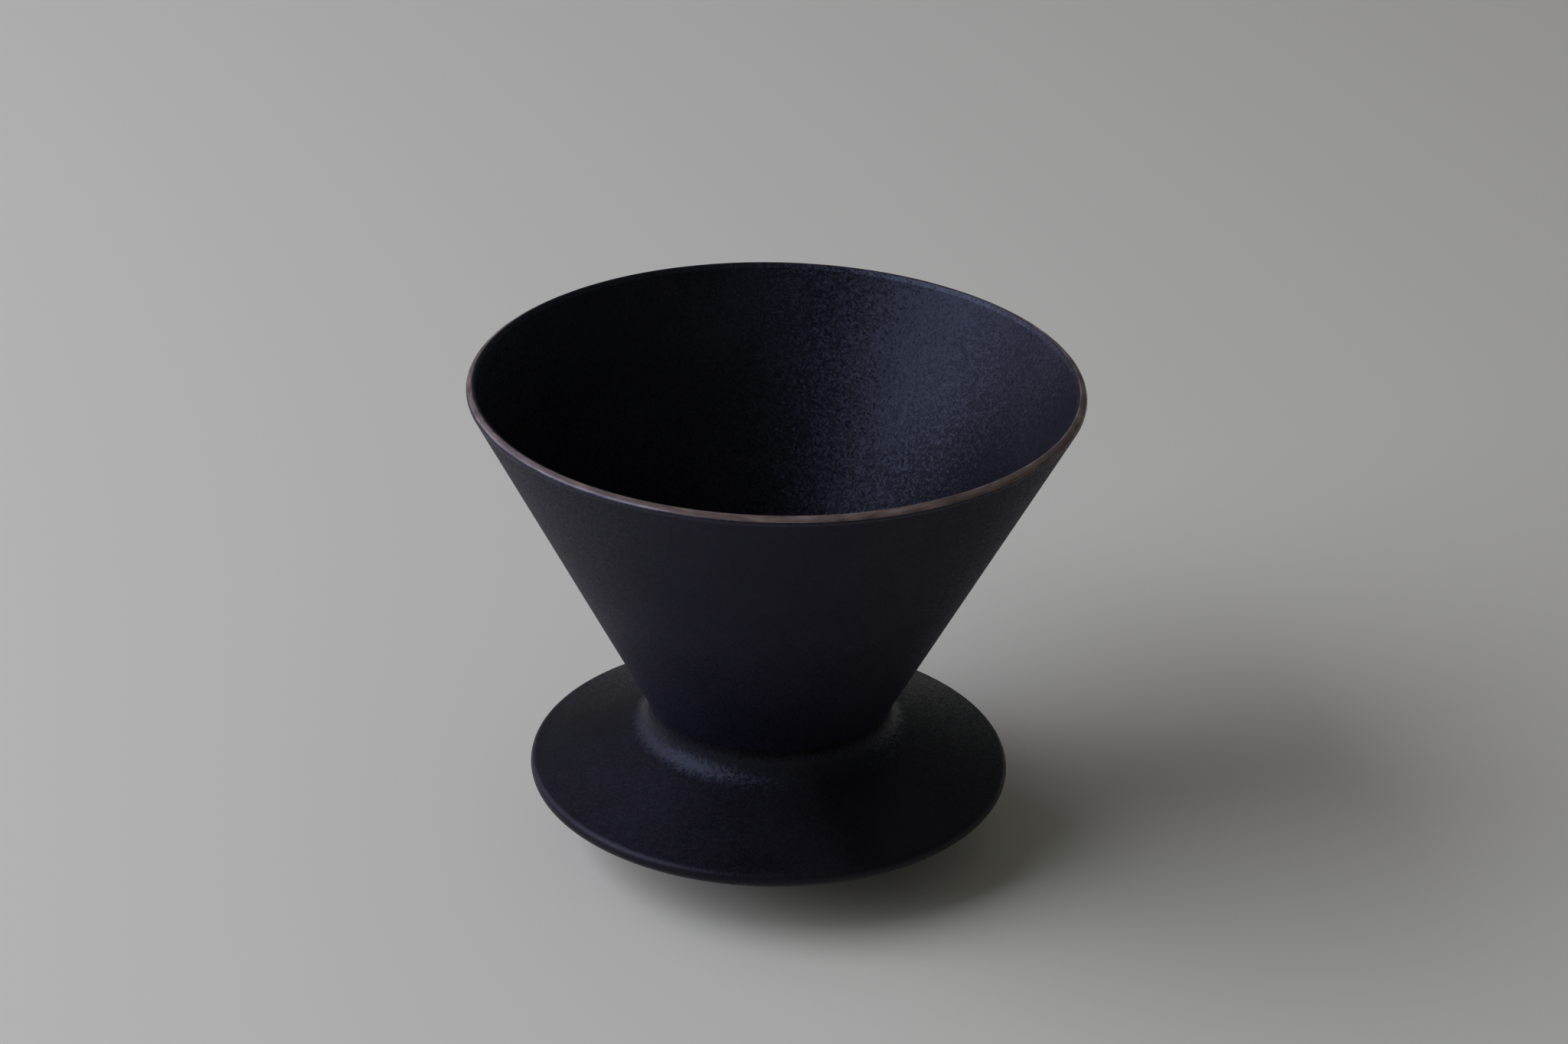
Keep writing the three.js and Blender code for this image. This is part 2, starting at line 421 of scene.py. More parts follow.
def turned(name, points, finish, dip_depth=0.0):
    """A ring on the wheel: its outline, turned, pressed and finished."""
    fine = divided(points)
    count = len(fine)
    mesh = bpy.data.meshes.new(name + "_outline")
    mesh.from_pydata([(p.x, 0, p.y) for p in fine], [(i, (i + 1) % count) for i in range(count)], [])
    values = {
        "Turn Segments": TURN_SEGMENTS,
        "Press Depth": PRESS_DEPTH,
        "Press Size": PRESS_SIZE,
        "Ring Depth": RING_DEPTH,
        "Ring Spacing": RING_SPACING,
        "Dip Depth": dip_depth,
        "Dip From": wall_out.y,
        "Dip To": lip_top.y,
        "Finish": finish,
    }
    piece = grown(name, mesh, wheel, values)
    print(f"{name}: {count} outline points, {volume(piece.data) * 1e6:.2f} cm3")
    return piece

# %% [markdown]
# ## Finish: satin-matt black glaze
#
# A black stoneware glaze is a skin of dark glass about a third of a millimetre thick, coloured by iron
# and cobalt, which gives it a blue cast. It is satin and not glossy because minute crystals grow in it as
# it cools. Each lies at its own small angle, so the surface sparkles where a window is mirrored and looks
# plain elsewhere. A noise as a bump would wrinkle it like leather. So the crystals are the cells of a
# Voronoi pattern here: each has one roughness and leans its own way, and hardly differs in colour. Glass
# of this kind has an IOR of about 1.5, but a crystalline skin mirrors less than polished glass, and what
# it mirrors looks bluer. One pot shows three degrees of it. It is satin inside and on the coil, matter
# outside the cone, and smoothest on the saucer.
# Outside the cone the base colour is bluer as well. This is partly the glaze's own blue cast and partly a
# painted sheen, which stands in for the window's blue reflection there.

# %% The glaze's own values
GLAZE_DARK = "#0f0d11"
GLAZE_BLUE = "#17151b"
# The outside's colours are bluer than the inside's: partly the glaze's own cast, partly painted sheen for the
# window's blue reflection.
OUTSIDE_DARK_WITH_PAINTED_SHEEN = "#0f0d1a"
OUTSIDE_BLUE_WITH_PAINTED_SHEEN = "#171521"
GLAZE_SPECK = "#55555a"
GLAZE_IOR = 1.5
GLAZE_MIRROR = 0.25  # specular level, which is 0.5 for polished glass
GLAZE_TINT = "#d2d8ff"  # of what it mirrors
OUTSIDE_TINT = "#d6d2ff"
SAUCER_TINT = "#dacef1"
GLAZE_SATIN = 0.38
GLAZE_MATT = 0.50
OUTSIDE_SATIN = 0.52
OUTSIDE_MATT = 0.62
CRYSTAL_SIZE = 0.40 * MM  # real crystals are half of this, too fine to see at arm's length
CRYSTAL_TILT = 0.12  # how far a crystal's face leans at most, as a slope
SAUCER_TILT = 0.05
ORANGE_PEEL_SIZE = 2.2 * MM
ORANGE_PEEL_HEIGHT = 0.012 * MM
CLOUD_SIZE = 16 * MM
CLOUD_EDGES = (0.35, 0.65)
SPECK_CELL = 11 * MM
SPECK_RADIUS = 0.22 * MM
SPECK_SHARE = 0.35  # of the cells, those that hold a speck
GLASS = {"IOR": GLAZE_IOR, "Specular_IOR_Level": GLAZE_MIRROR, "Specular_Tint": linear(GLAZE_TINT)}

# %% The nodes that all finishes share
def glaze(
    tree,
    colours=(GLAZE_DARK, GLAZE_BLUE),
    roughness=(GLAZE_SATIN, GLAZE_MATT),
    tilt=CRYSTAL_TILT,
):
    """Colour, roughness and normals of the glaze, and the Object coordinates that they read."""
    place = add_node(tree, "ShaderNodeTexCoord").outputs["Object"]
    cloud = add_node(tree, "ShaderNodeTexNoise", {"Vector": place, "Scale": 1 / CLOUD_SIZE, "Detail": 3.0})
    depth = add_node(
        tree,
        "ShaderNodeMapRange",
        {"Value": cloud.outputs[0], "From Min": CLOUD_EDGES[0], "From Max": CLOUD_EDGES[1]},
    )
    colour = add_node(
        tree,
        "ShaderNodeMix",
        {0: depth.outputs[0], 6: linear(colours[0]), 7: linear(colours[1])},
        data_type="RGBA",
    )

    cells = add_node(tree, "ShaderNodeTexVoronoi", {"Vector": place, "Scale": 1 / SPECK_CELL})
    near = add_node(
        tree,
        "ShaderNodeMath",
        {0: cells.outputs["Distance"], 1: SPECK_RADIUS / SPECK_CELL},
        operation="LESS_THAN",
    )
    chance = add_node(tree, "ShaderNodeSeparateColor", {"Color": cells.outputs["Color"]})
    chosen = add_node(tree, "ShaderNodeMath", {0: chance.outputs[0], 1: SPECK_SHARE}, operation="LESS_THAN")
    speck = add_node(tree, "ShaderNodeMath", {0: near.outputs[0], 1: chosen.outputs[0]}, operation="MULTIPLY")
    colour = add_node(
        tree,
        "ShaderNodeMix",
        {0: speck.outputs[0], 6: colour.outputs[2], 7: linear(GLAZE_SPECK)},
        data_type="RGBA",
    )

    # A crystal's colour is three random shares: the first sets its roughness, and all three its lean.
    crystals = add_node(tree, "ShaderNodeTexVoronoi", {"Vector": place, "Scale": 1 / CRYSTAL_SIZE}).outputs
    chance = add_node(tree, "ShaderNodeSeparateColor", {"Color": crystals["Color"]})
    satin = add_node(
        tree,
        "ShaderNodeMapRange",
        {"Value": chance.outputs[0], "To Min": roughness[1], "To Max": roughness[0]},
    )
    peel = add_node(
        tree, "ShaderNodeTexNoise", {"Vector": place, "Scale": 1 / ORANGE_PEEL_SIZE, "Detail": 1.0}
    )
    soft = add_node(tree, "ShaderNodeBump", {"Height": peel.outputs[0], "Distance": ORANGE_PEEL_HEIGHT})
    lean = add_node(
        tree,
        "ShaderNodeVectorMath",
        {0: crystals["Color"], 1: [2 * tilt] * 3, 2: [-tilt] * 3},
        operation="MULTIPLY_ADD",
    )
    leaning = add_node(
        tree, "ShaderNodeVectorMath", {0: soft.outputs[0], 1: lean.outputs[0]}, operation="ADD"
    )
    faces = add_node(tree, "ShaderNodeVectorMath", {0: leaning.outputs[0]}, operation="NORMALIZE")
    return {
        "place": place,
        "colour": colour.outputs[2],
        "roughness": satin.outputs[0],
        "normal": faces.outputs[0],
        "smooth": soft.outputs[0],
    }


def surface(tree, **inputs):
    """The shader at the end of a finish. A space in a socket's name is written as an underscore."""
    named = {name.replace("_", " "): value for name, value in inputs.items()}
    shader = add_node(tree, "ShaderNodeBsdfPrincipled", named)
    add_node(tree, "ShaderNodeOutputMaterial", {"Surface": shader.outputs["BSDF"]})


def new_finish(name):
    """An empty node material and its tree."""
    material = bpy.data.materials.new(name)
    material.use_nodes = True
    material.node_tree.nodes.clear()
    return material, material.node_tree


def black_glaze_finish(name, tint, *glaze_values):
    """The black glaze on one part of the pot."""
    material, tree = new_finish(name)
    coat = glaze(tree, *glaze_values)
    glass = {**GLASS, "Specular_Tint": linear(tint)}
    surface(tree, Base_Color=coat["colour"], Roughness=coat["roughness"], Normal=coat["normal"], **glass)
    return material


# %% Three degrees of the black glaze
black_glaze = black_glaze_finish("satin_black_glaze", GLAZE_TINT)
# The matt finish also carries the bluer outside colours, part of which is painted sheen.
outside_glaze_with_painted_sheen = black_glaze_finish(
    "matt_black_glaze_painted_sheen",
    OUTSIDE_TINT,
    (OUTSIDE_DARK_WITH_PAINTED_SHEEN, OUTSIDE_BLUE_WITH_PAINTED_SHEEN),
    (OUTSIDE_SATIN, OUTSIDE_MATT),
)
saucer_glaze = black_glaze_finish(
    "smooth_black_glaze",
    SAUCER_TINT,
    (GLAZE_DARK, GLAZE_BLUE),
    (GLAZE_SATIN, GLAZE_MATT),
    SAUCER_TILT,
)
print("finishes:", black_glaze.name, outside_glaze_with_painted_sheen.name, saucer_glaze.name)

# %% [markdown]
# ## Finish: glaze broken on the lip
#
# Molten glaze runs off a thin edge. What stays on the lip's end is too thin to be black, so the iron in
# the clay shows through it as a warm grey-brown, and the black begins again just below. The line between
# the two wavers. Handling and washing polish the end here and there, which leaves paler and shinier
# streaks along it. The lip's shape is a ring, so its pattern is laid out in the wall's own section: along
# the wall, and across it.

# %% The lip: brown on the end of the wall, black round it
up_inside = direction(drain_top, wall_in)
lip_axis = (up_wall + up_inside).normalized()
lip_across = -left_of(lip_axis)
LIP_END = 0.70 * MM  # how far the end face stands past the centre of the engineering model's round
BREAK_BROWN = "#6f5c54"
BREAK_PALE = "#8a766d"
BREAK_DEEP = "#54453e"
BREAK_LINE = LIP_END - 0.20 * MM
BREAK_DRIFT = 0.0016  # the glaze lies thinner on the right, so the brown is wider there
BREAK_LEAN = 0.1  # the brown reaches further down outside than inside
BREAK_SOFTNESS = 0.06 * MM
BREAK_WAVER = 0.04 * MM
BREAK_SHINE = 0.16
BREAK_DULL = 0.40
BREAK_MIRROR = 0.5
WAVER_SIZE = 3.5 * MM
STREAK_SIZE = 1.3 * MM
STREAK_STRETCH = 4
STREAK_DETAIL = 3.0
TONES = ((0.30, BREAK_DEEP), (0.50, BREAK_BROWN), (0.72, BREAK_PALE))
WORN_EDGES = (0.35, 0.65)


def dot_with(tree, radius, height, axis):
    """Nodes for the distance from the lip's centre along one direction of the wall's section."""
    start = lip_centre.dot(axis)
    across = add_node(tree, "ShaderNodeMath", {0: radius, 1: axis.x, 2: -start}, operation="MULTIPLY_ADD")
    upward = {0: height, 1: axis.y, 2: across.outputs[0]}
    return add_node(tree, "ShaderNodeMath", upward, operation="MULTIPLY_ADD").outputs[0]


def broken_lip():
    material, tree = new_finish("broken_glaze_lip")
    coat = glaze(tree)
    axes = add_node(tree, "ShaderNodeSeparateXYZ", {"Vector": coat["place"]}).outputs
    level = add_node(tree, "ShaderNodeCombineXYZ", {"X": axes["X"], "Y": axes["Y"]})
    length = add_node(tree, "ShaderNodeVectorMath", {0: level.outputs[0]}, operation="LENGTH")
    radius = length.outputs["Value"]
    along = dot_with(tree, radius, axes["Z"], lip_axis)
    across = dot_with(tree, radius, axes["Z"], lip_across)
    waver = add_node(
        tree, "ShaderNodeTexNoise", {"Vector": coat["place"], "Scale": 1 / WAVER_SIZE, "Detail": 3.0}
    )
    line = add_node(
        tree,
        "ShaderNodeMapRange",
        {
            "Value": waver.outputs[0],
            "To Min": BREAK_LINE - BREAK_WAVER,
            "To Max": BREAK_LINE + BREAK_WAVER,
        },
    )
    leaning = add_node(
        tree, "ShaderNodeMath", {0: across, 1: BREAK_LEAN, 2: along}, operation="MULTIPLY_ADD"
    )
    drifted = add_node(
        tree,
        "ShaderNodeMath",
        {0: axes["X"], 1: BREAK_DRIFT, 2: leaning.outputs[0]},
        operation="MULTIPLY_ADD",
    )
    above = add_node(
        tree, "ShaderNodeMath", {0: drifted.outputs[0], 1: line.outputs[0]}, operation="SUBTRACT"
    )
    thin = add_node(
        tree,
        "ShaderNodeMapRange",
        {"Value": above.outputs[0], "From Min": -BREAK_SOFTNESS / 2, "From Max": BREAK_SOFTNESS / 2},
        interpolation_type="SMOOTHSTEP",
    )
    wiped = add_node(
        tree, "ShaderNodeVectorMath", {0: level.outputs[0], "Scale": 1 / STREAK_STRETCH}, operation="SCALE"
    )
    side = add_node(tree, "ShaderNodeCombineXYZ", {"Z": across})
    wiped = add_node(tree, "ShaderNodeVectorMath", {0: wiped.outputs[0], 1: side.outputs[0]}, operation="ADD")
    streak = add_node(
        tree,
        "ShaderNodeTexNoise",
        {"Vector": wiped.outputs[0], "Scale": 1 / STREAK_SIZE, "Detail": STREAK_DETAIL},
    )
    tones = add_node(tree, "ShaderNodeValToRGB", {"Fac": streak.outputs[0]})
    stops = tones.color_ramp.elements
    stops.new(TONES[1][0])
    for stop, (position, tone) in zip(stops, TONES):
        stop.position = position
        stop.color = linear(tone)
    colour = add_node(
        tree,
        "ShaderNodeMix",
        {0: thin.outputs[0], 6: coat["colour"], 7: tones.outputs[0]},
        data_type="RGBA",
    )
    worn = add_node(
        tree,
        "ShaderNodeMapRange",
        {
            "Value": streak.outputs[0],
            "From Min": WORN_EDGES[0],
            "From Max": WORN_EDGES[1],
            "To Min": BREAK_DULL,
            "To Max": BREAK_SHINE,
        },
    )
    roughness = add_node(
        tree, "ShaderNodeMix", {0: thin.outputs[0], 2: coat["roughness"], 3: worn.outputs[0]}
    )
    normal = add_node(
        tree, "ShaderNodeMix", {0: thin.outputs[0], 4: coat["normal"], 5: coat["smooth"]}, data_type="VECTOR"
    )
    surface(
        tree,
        Base_Color=colour.outputs[2],
        Roughness=roughness.outputs[0],
        Normal=normal.outputs[1],
        **{**GLASS, "Specular_IOR_Level": BREAK_MIRROR},
    )
    return material


lip_glaze = broken_lip()
print("finish:", lip_glaze.name)

# %% [markdown]
# ## Finish: glazed foot with a bare standing face
#
# A glazed foot would fuse to the kiln shelf, so the potter wipes the face that it stands on. There the
# dark clay shows, matt and slightly sandy, up to a wiped line on the eased edges.

# %% The foot: black above, bare clay where it was wiped
CLAY = "#4a3f38"
CLAY_LIGHT = "#6a5c51"
CLAY_ROUGHNESS = 0.85
SAND_SIZE = 0.7 * MM
WIPE_LINE = 0.7 * foot_ease
WIPE_WAVER = 0.4 * MM


def wiped_foot():
    material, tree = new_finish("wiped_foot_glaze")
    coat = glaze(tree)
    height = add_node(tree, "ShaderNodeSeparateXYZ", {"Vector": coat["place"]}).outputs["Z"]
    waver = add_node(tree, "ShaderNodeTexNoise", {"Vector": coat["place"], "Scale": 1 / WAVER_SIZE})
    line = add_node(
        tree,
        "ShaderNodeMapRange",
        {"Value": waver.outputs[0], "To Min": WIPE_LINE - WIPE_WAVER, "To Max": WIPE_LINE + WIPE_WAVER},
    )
    bare = add_node(tree, "ShaderNodeMath", {0: height, 1: line.outputs[0]}, operation="LESS_THAN")
    sand = add_node(
        tree, "ShaderNodeTexNoise", {"Vector": coat["place"], "Scale": 1 / SAND_SIZE, "Detail": 3.0}
    )
    clay = add_node(
        tree, "ShaderNodeMix", {0: sand.outputs[0], 6: linear(CLAY), 7: linear(CLAY_LIGHT)}, data_type="RGBA"
    )
    colour = add_node(
        tree, "ShaderNodeMix", {0: bare.outputs[0], 6: coat["colour"], 7: clay.outputs[2]}, data_type="RGBA"
    )
    roughness = add_node(tree, "ShaderNodeMix", {0: bare.outputs[0], 2: coat["roughness"], 3: CLAY_ROUGHNESS})
    surface(
        tree,
        Base_Color=colour.outputs[2],
        Roughness=roughness.outputs[0],
        Normal=coat["normal"],
        **GLASS,
    )
    return material


foot_glaze = wiped_foot()
print("finish:", foot_glaze.name)

# %% [markdown]
# ## The cone
#
# The wall is thin at the lip and thicker at the drain. Where the cone turns into the straight drain the
# throwing left a soft shoulder, so that corner is rounded, and the drain's lower edge is eased where the
# glaze pulled back.

# %% The cone's wall
SHOULDER_RADIUS = 5 * MM
DRAIN_EASE = 0.6 * MM


def cone_wall():
    wall_seat = wall_touch + SEAT_DEPTH * (into_wall - up_wall)
    loop = outline(
        (drain_low, DRAIN_EASE),
        wall_low,
        wall_seat,
        wall_touch,
        wall_out,
        wall_in,
        (drain_top, SHOULDER_RADIUS),
    )
    piece = turned("cone_wall_skin", loop, black_glaze)
    piece.data.materials.append(outside_glaze_with_painted_sheen)
    # The outside faces take the matt finish, with its painted blue sheen.
    for face in piece.data.polygons:
        if face.normal.z < 0 and face.center.z > wall_touch.y:
            face.material_index = 1
    return piece


cone = cone_wall()

# %% [markdown]
# ## The lip
#
# The lip is the end of the same wall. It was cut square to the wall and then eased, more on the outside
# than on the inside. It is a piece of its own because its finish differs, and it meets the wall on a
# straight stretch, where nothing shows. Its lowest faces take the wall's own finishes, so that the two
# pieces match where they meet. A finger that compresses a wet rim leaves it very slightly wavy, so this
# piece alone also dips a twentieth of a millimetre.

# %% The lip's section
LIP_DIP = 0.05 * MM
LIP_INNER_ROUND = 0.45 * MM
LIP_OUTER_ROUND = 0.95 * MM


def lip_round():
    end = lip_centre + LIP_END * lip_axis
    outer_corner = crossing(wall_out, up_wall, end, lip_across)
    inner_corner = crossing(wall_in, up_inside, end, lip_across)
    loop = outline(wall_in, wall_out, (outer_corner, LIP_OUTER_ROUND), (inner_corner, LIP_INNER_ROUND))
    piece = turned("lip_round", loop, lip_glaze, LIP_DIP)
    piece.data.materials.append(black_glaze)
    piece.data.materials.append(outside_glaze_with_painted_sheen)
    # The lip's lowest outside faces take the same matt finish and its painted sheen.
    for face in piece.data.polygons:
        x, y, z = face.center
        if (Vector((math.hypot(x, y), z)) - lip_centre).dot(lip_axis) < LIP_END - LIP_OUTER_ROUND:
            face.material_index = 1 if face.normal.z > 0 else 2
    return piece


lip_piece = lip_round()

# %% [markdown]
# ## The neck coil
#
# A thin roll of clay in the corner between cone and saucer keeps the joint from cracking. Its visible
# face is one hollow arc from the saucer's top to the wall, and its back lies in the shallow seat.

# %% The hollow curve at the neck
def neck_coil():
    half_seat = SEAT_DEPTH / 2
    plate_back = plate_touch + half_seat * (into_plate + up_plate)
    wall_back = wall_touch + half_seat * (into_wall - up_wall)
    corner = crossing(plate_back, up_plate, wall_back, up_wall)
    first = angle_of(plate_touch - coil_centre) % (2 * math.pi)
    last = angle_of(wall_touch - coil_centre) % (2 * math.pi)
    loop = outline(corner, plate_back, arc(coil_centre, coil_radius, first, last), wall_back)
    return turned("neck_coil_skin", loop, black_glaze)


neck = neck_coil()

# %% [markdown]
# ## The saucer
#
# The saucer slopes so that drips run off it, and its edge is a full round, which is pleasant to hold and
# hard to chip. Its underside is flat, because it rests on a mug. A shallow groove there is the seat of
# the foot ring.

# %% The sloping saucer
FOOT_FILLET = 1.2 * MM


def saucer():
    bottom = plate_low.y
    groove_in = Vector((foot_in - FOOT_FILLET, bottom))
    groove_out = Vector((foot_out + FOOT_FILLET, bottom))
    depth = Vector((0, SEAT_DEPTH))
    plate_seat = plate_touch + SEAT_DEPTH * (into_plate + up_plate)
    bore_top = crossing(plate_seat, up_plate, wall_low, up_wall)
    edge = arc(edge_centre, edge_radius, -math.pi / 2, angle_of(-into_plate))
    loop = outline(
        wall_low,
        groove_in,
        groove_in + depth,
        groove_out + depth,
        groove_out,
        edge,
        plate_touch,
        plate_seat,
        bore_top,
    )
    return turned("saucer_skin", loop, saucer_glaze)


plate_piece = saucer()

# %% [markdown]
# ## The foot ring
#
# The foot drops into the mug's mouth and keeps the dripper from sliding off. It is a short tube with
# eased lower edges, and the slip that holds it to the saucer was wiped to a small hollow curve inside and
# out.

# %% The foot
def foot_ring():
    top = plate_low.y
    low = top - FOOT_FILLET
    outer = arc(Vector((foot_out + FOOT_FILLET, low)), FOOT_FILLET, math.pi, math.pi / 2)
    inner = arc(Vector((foot_in - FOOT_FILLET, low)), FOOT_FILLET, math.pi / 2, 0)
    into_groove = Vector((0, SEAT_DEPTH / 2))
    loop = outline(
        (Vector((foot_in, 0)), foot_ease),
        (Vector((foot_out, 0)), foot_ease),
        outer,
        outer[-1] + into_groove,
        inner[0] + into_groove,
        inner,
    )
    return turned("foot_ring_skin", loop, foot_glaze)


foot_piece = foot_ring()

# %% [markdown]
# ## The filter ribs
#
# Wet paper clings to a smooth wall and shuts the air in, so the lower wall carries twelve low ribs. They
# are all alike, so one is modelled and a second Geometry Nodes tree sets the others round the axis. The
# rib is a strip of slip: rounded across, running out into the wall on both sides, blunt at the drain and
# drawn out to nothing above.

# %% One rib, measured from the model
rib_names = sorted(n for n in frame["nodes"] if n.startswith("filter_rib_"))
off_inside = left_of(up_inside)
rib_points = [Vector((v.co.x, v.co.z)) for v in frame["nodes"]["filter_rib_01"].data.vertices]
rib_height = max((p - drain_top).dot(off_inside) for p in rib_points)
rib_start = min((p - drain_top).dot(up_inside) for p in rib_points)
rib_end = max((p - drain_top).dot(up_inside) for p in rib_points)
rib_half_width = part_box("filter_rib_01")[1].y
rib_length = rib_end - rib_start
print(f"{len(rib_names)} ribs, {1000 * rib_height:.2f} mm high, {1000 * rib_length:.1f} mm long")

# %% The rib's mesh
RIB_FLARE = 1.5  # how much wider the slip at the rib's sides is than the rib itself
RIB_BLUNT = 2.5 * MM
RIB_TAPER = 14 * MM
RIB_ROOT = 0.45 * MM  # depth that the rib's sides run into the wall
RIB_STEPS_ALONG = 60
RIB_STEPS_ACROSS = 20


def rib_rise(along):
    """Share of the full height at a distance along the rib."""
    blunt = min(1, (along - rib_start) / RIB_BLUNT)
    taper = min(1, (rib_end - along) / RIB_TAPER)
    return math.sin(math.pi / 2 * blunt) * math.sin(math.pi / 2 * taper)


def on_inside(along, sideways, height):
    """A point above the inner wall: along its slope, sideways round it, and up off its surface."""
    foot_point = drain_top + up_inside * along
    raised = foot_point + off_inside * height
    turn = sideways / foot_point.x
    return (raised.x * math.cos(turn), raised.x * math.sin(turn), raised.y)


def one_rib():
    """A closed strip: its upper side is the bell-shaped rib, and its lower side is sunk in the wall."""
    vertices, faces = [], []
    rows, columns = RIB_STEPS_ALONG + 1, RIB_STEPS_ACROSS + 1
    for sunk in (False, True):
        for i in range(rows):
            along = rib_start + rib_length * i / RIB_STEPS_ALONG
            for j in range(columns):
                share = 2 * j / RIB_STEPS_ACROSS - 1
                bell = (1 + math.cos(math.pi * share)) / 2
                height = rib_height * rib_rise(along) * bell - RIB_ROOT * (1 - bell)
                if sunk:
                    height = -2 * RIB_ROOT
                vertices.append(on_inside(along, share * RIB_FLARE * rib_half_width, height))

    def number(i, j, sunk):
        return (sunk * rows + i) * columns + j

    for i in range(rows - 1):
        for j in range(columns - 1):
            square = [(i, j), (i, j + 1), (i + 1, j + 1), (i + 1, j)]
            faces.append([number(a, b, 0) for a, b in square])
            faces.append([number(a, b, 1) for a, b in square[::-1]])
    border = [(i, 0) for i in range(rows)]
    border += [(rows - 1, j) for j in range(1, columns)]
    border += [(i, columns - 1) for i in range(rows - 2, -1, -1)]
    border += [(0, j) for j in range(columns - 2, 0, -1)]
    for here, there in zip(border, border[1:] + border[:1]):
        faces.append([number(*here, 0), number(*there, 0), number(*there, 1), number(*here, 1)])
    mesh = bpy.data.meshes.new("one_rib")
    mesh.from_pydata(vertices, [], faces)
    if volume(mesh) < 0:
        mesh.flip_normals()
    return mesh


# %% The tree that sets ribs round the axis
def ribs_tree():
    tree = bpy.data.node_groups.new("ribs_round_the_drain", "GeometryNodeTree")
    sockets = tree.interface
    sockets.new_socket("Geometry", in_out="OUTPUT", socket_type="NodeSocketGeometry")
    sockets.new_socket("Rib", in_out="INPUT", socket_type="NodeSocketGeometry")
    sockets.new_socket("Rib Count", in_out="INPUT", socket_type="NodeSocketInt")
    sockets.new_socket("Finish", in_out="INPUT", socket_type="NodeSocketMaterial")
    given = add_node(tree, "NodeGroupInput").outputs
    places = add_node(tree, "GeometryNodePoints", {"Count": given["Rib Count"]})
    index = add_node(tree, "GeometryNodeInputIndex")
    step = add_node(tree, "ShaderNodeMath", {0: 2 * math.pi, 1: given["Rib Count"]}, operation="DIVIDE")
    angle = add_node(tree, "ShaderNodeMath", {0: index.outputs[0], 1: step.outputs[0]}, operation="MULTIPLY")
    turn = add_node(tree, "ShaderNodeCombineXYZ", {"Z": angle.outputs[0]})
    ribs = add_node(
        tree,
        "GeometryNodeInstanceOnPoints",
        {"Points": places.outputs[0], "Instance": given["Rib"], "Rotation": turn.outputs[0]},
    )
    smooth = add_node(
        tree, "GeometryNodeSetShadeSmooth", {"Geometry": ribs.outputs[0], "Shade Smooth": True}
    )
    solid = add_node(tree, "GeometryNodeRealizeInstances", {"Geometry": smooth.outputs[0]})
    solid = add_node(
        tree, "GeometryNodeSetMaterial", {"Geometry": solid.outputs[0], "Material": given["Finish"]}
    )
    add_node(tree, "NodeGroupOutput", {"Geometry": solid.outputs[0]})
    return tree


rib_values = {"Rib Count": len(rib_names), "Finish": black_glaze}
ribs = grown("filter_ribs", one_rib(), ribs_tree(), rib_values)
print(f"ribs: {len(ribs.data.polygons)} faces, {volume(ribs.data) * 1e6:.2f} cm3")

# %% [markdown]
# ## Riding on the model
#
# The pot is rigid, so every skin rides on its one body, and the rings of the engineering model that it
# stands for are hidden. The table also lists the material slot of the record for its finish, but that column
# is not used.

# %% Bodies, replaced rings and slots
for piece, slot, nodes in (
    (lip_piece, "broken_glaze", ["lip"]),
    (cone, "black_glaze", ["cone_wall"]),
    (neck, "black_glaze", ["neck_coil"]),
    (plate_piece, "black_glaze", ["saucer"]),
    (foot_piece, "bare_clay", ["foot_ring"]),
    (ribs, "black_glaze", rib_names),
):
    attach(piece, "root")
    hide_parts(*nodes)

# %% [markdown]
# ## Camera
#
# A long lens from twelve rim radii away keeps the circles calm and shows the pot much as the eye sees it
# on a table, from a little above. The camera's place is given in rim radii from the middle of the rim, so
# it follows the model's size. It is also rolled by about a degree, as a camera held by hand is.

# %% Camera
CAMERA_PLACE = Vector((0.033, -11.897, 5.44))
CAMERA_PITCH = math.radians(26.5)
CAMERA_ROLL = math.radians(1.33)
LENS = 93.34
SENSOR = 36

camera_data = bpy.data.cameras.new("camera")
camera_data.lens = LENS
camera_data.sensor_width = SENSOR
camera_data.sensor_fit = "HORIZONTAL"
camera_data.clip_start = 0.05
camera = bpy.data.objects.new("camera", camera_data)
bpy.context.scene.collection.objects.link(camera)
rim_middle = Vector((0, 0, lip_centre.y))
camera.matrix_world = (
    Matrix.Translation(rim_middle + rim_radius * CAMERA_PLACE)
    @ Matrix.Rotation(math.pi / 2 - CAMERA_PITCH, 4, "X")
    @ Matrix.Rotation(CAMERA_ROLL, 4, "Z")
)
bpy.context.scene.camera = camera

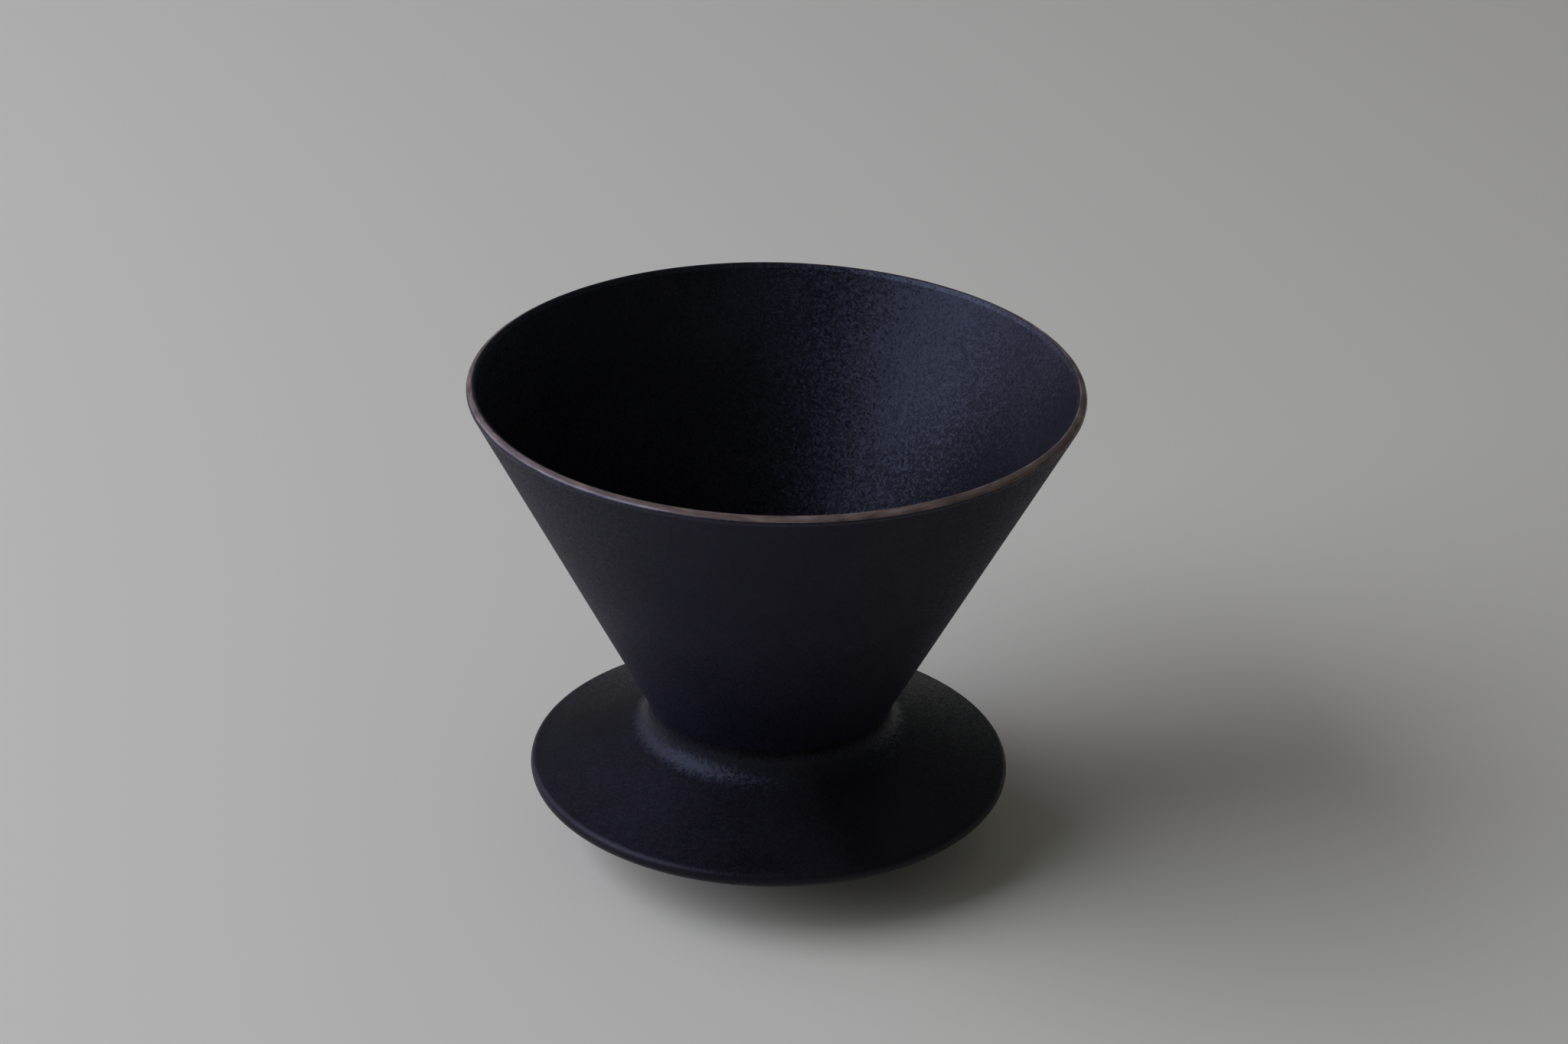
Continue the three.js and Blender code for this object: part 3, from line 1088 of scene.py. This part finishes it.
# %% [markdown]
# ## Floor and light
#
# Black glaze is seen by what it mirrors. A wide soft window to the left, a little in front, draws the
# blue sheen down the cone's left side, the band on the neck and the sparkle inside on the right. A weaker
# one further back on the left lights the cone's left edge and the back of the saucer. A dim sky keeps the
# rest from going quite black. The floor is plain, pale and matt, and takes a long soft shadow to the
# right. Daylight from a window is cool, so the paper is slightly warm, and the two together look grey.

# %% Floor
FLOOR_SIZE = 6.0
FLOOR_PAPER = "#ebe2d2"
FLOOR_ROUGHNESS = 0.9


def floor():
    mesh = bpy.data.meshes.new("floor")
    half = FLOOR_SIZE / 2
    corners = [(-half, -half, 0), (half, -half, 0), (half, half, 0), (-half, half, 0)]
    mesh.from_pydata(corners, [], [(0, 1, 2, 3)])
    material, tree = new_finish("pale_floor")
    surface(tree, Base_Color=linear(FLOOR_PAPER), Roughness=FLOOR_ROUGHNESS)
    mesh.materials.append(material)
    sheet = bpy.data.objects.new("floor", mesh)
    bpy.context.scene.collection.objects.link(sheet)


floor()

# %% Windows and sky
WINDOW_DISTANCE = 1.6


def window(name, azimuth, elevation, size, power, colour):
    """A soft rectangular light that faces the pot. Azimuth runs anticlockwise from the pot's right."""
    lamp = bpy.data.lights.new(name, "AREA")
    lamp.shape = "RECTANGLE"
    lamp.size, lamp.size_y = size
    lamp.energy = power
    lamp.color = linear(colour)[:3]
    light = bpy.data.objects.new(name, lamp)
    bpy.context.scene.collection.objects.link(light)
    turn, lift = math.radians(azimuth), math.radians(elevation)
    out = Vector((math.cos(turn) * math.cos(lift), math.sin(turn) * math.cos(lift), math.sin(lift)))
    facing = out.to_track_quat("Z", "Y").to_matrix().to_4x4()
    light.matrix_world = Matrix.Translation(rim_middle + WINDOW_DISTANCE * out) @ facing


window("window", azimuth=195, elevation=34, size=(1.45, 1.35), power=24.5, colour="#e2ecff")
window("side_window", azimuth=147, elevation=22, size=(0.8, 1.1), power=4.4, colour="#dcd9ff")

SKY = "#f4fcf9"
SKY_STRENGTH = 0.11
world = bpy.data.worlds.new("sky")
bpy.context.scene.world = world
world.use_nodes = True
world.node_tree.nodes["Background"].inputs["Color"].default_value = linear(SKY)
world.node_tree.nodes["Background"].inputs["Strength"].default_value = SKY_STRENGTH
bpy.context.scene.view_settings.view_transform = "Standard"
